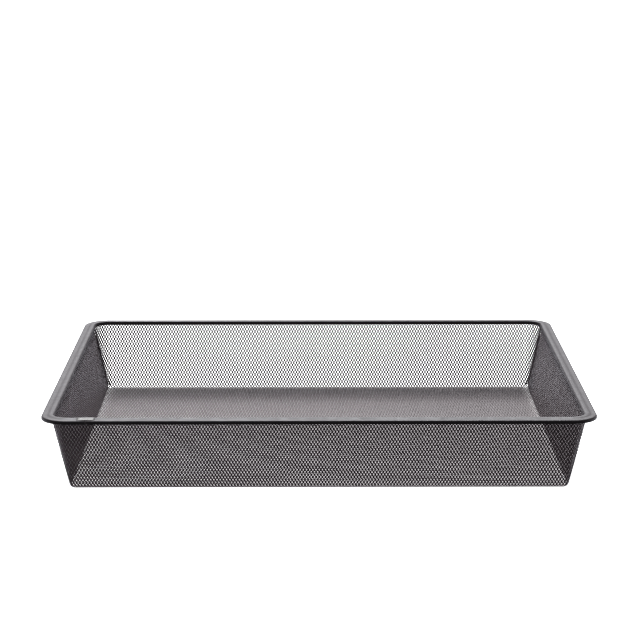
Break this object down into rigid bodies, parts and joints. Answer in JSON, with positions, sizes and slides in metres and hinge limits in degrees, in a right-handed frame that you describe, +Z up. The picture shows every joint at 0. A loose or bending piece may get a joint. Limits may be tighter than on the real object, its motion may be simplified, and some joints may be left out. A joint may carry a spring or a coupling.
{
  "type": "mesh pull-out tray",
  "caption": "Wide shallow open tray of expanded steel mesh with tapered walls, rounded corners and a rolled steel rim whose side flanges can hang between runners.",
  "frame": {"origin": "on the surface the tray stands on, under the middle of the rim's bounding box", "axes": "+X along the long side, +Y from the front to the back, +Z up"},
  "size_m": [0.544, 0.47, 0.0767],
  "materials": {
    "mesh": "graphite powder coat on expanded steel mesh",
    "rim": "satin graphite powder coat",
    "strap": "pale zinc"
  },
  "bodies": {
    "root": {"mesh_floor": "mesh", "mesh_wall_front": "mesh", "mesh_wall_right": "mesh", "mesh_wall_back": "mesh", "mesh_wall_left": "mesh", "mesh_corner_front_left": "mesh", "mesh_corner_front_right": "mesh", "mesh_corner_back_right": "mesh", "mesh_corner_back_left": "mesh", "rim_rail_front": "rim", "rim_rail_front_end": "rim", "rim_rail_right": "rim", "rim_rail_back": "rim", "rim_rail_left": "rim", "rim_corner_front_left": "rim", "rim_corner_front_right": "rim", "rim_corner_back_right": "rim", "rim_corner_back_left": "rim", "rim_joint_strap": "strap"}
  },
  "joints": []
}
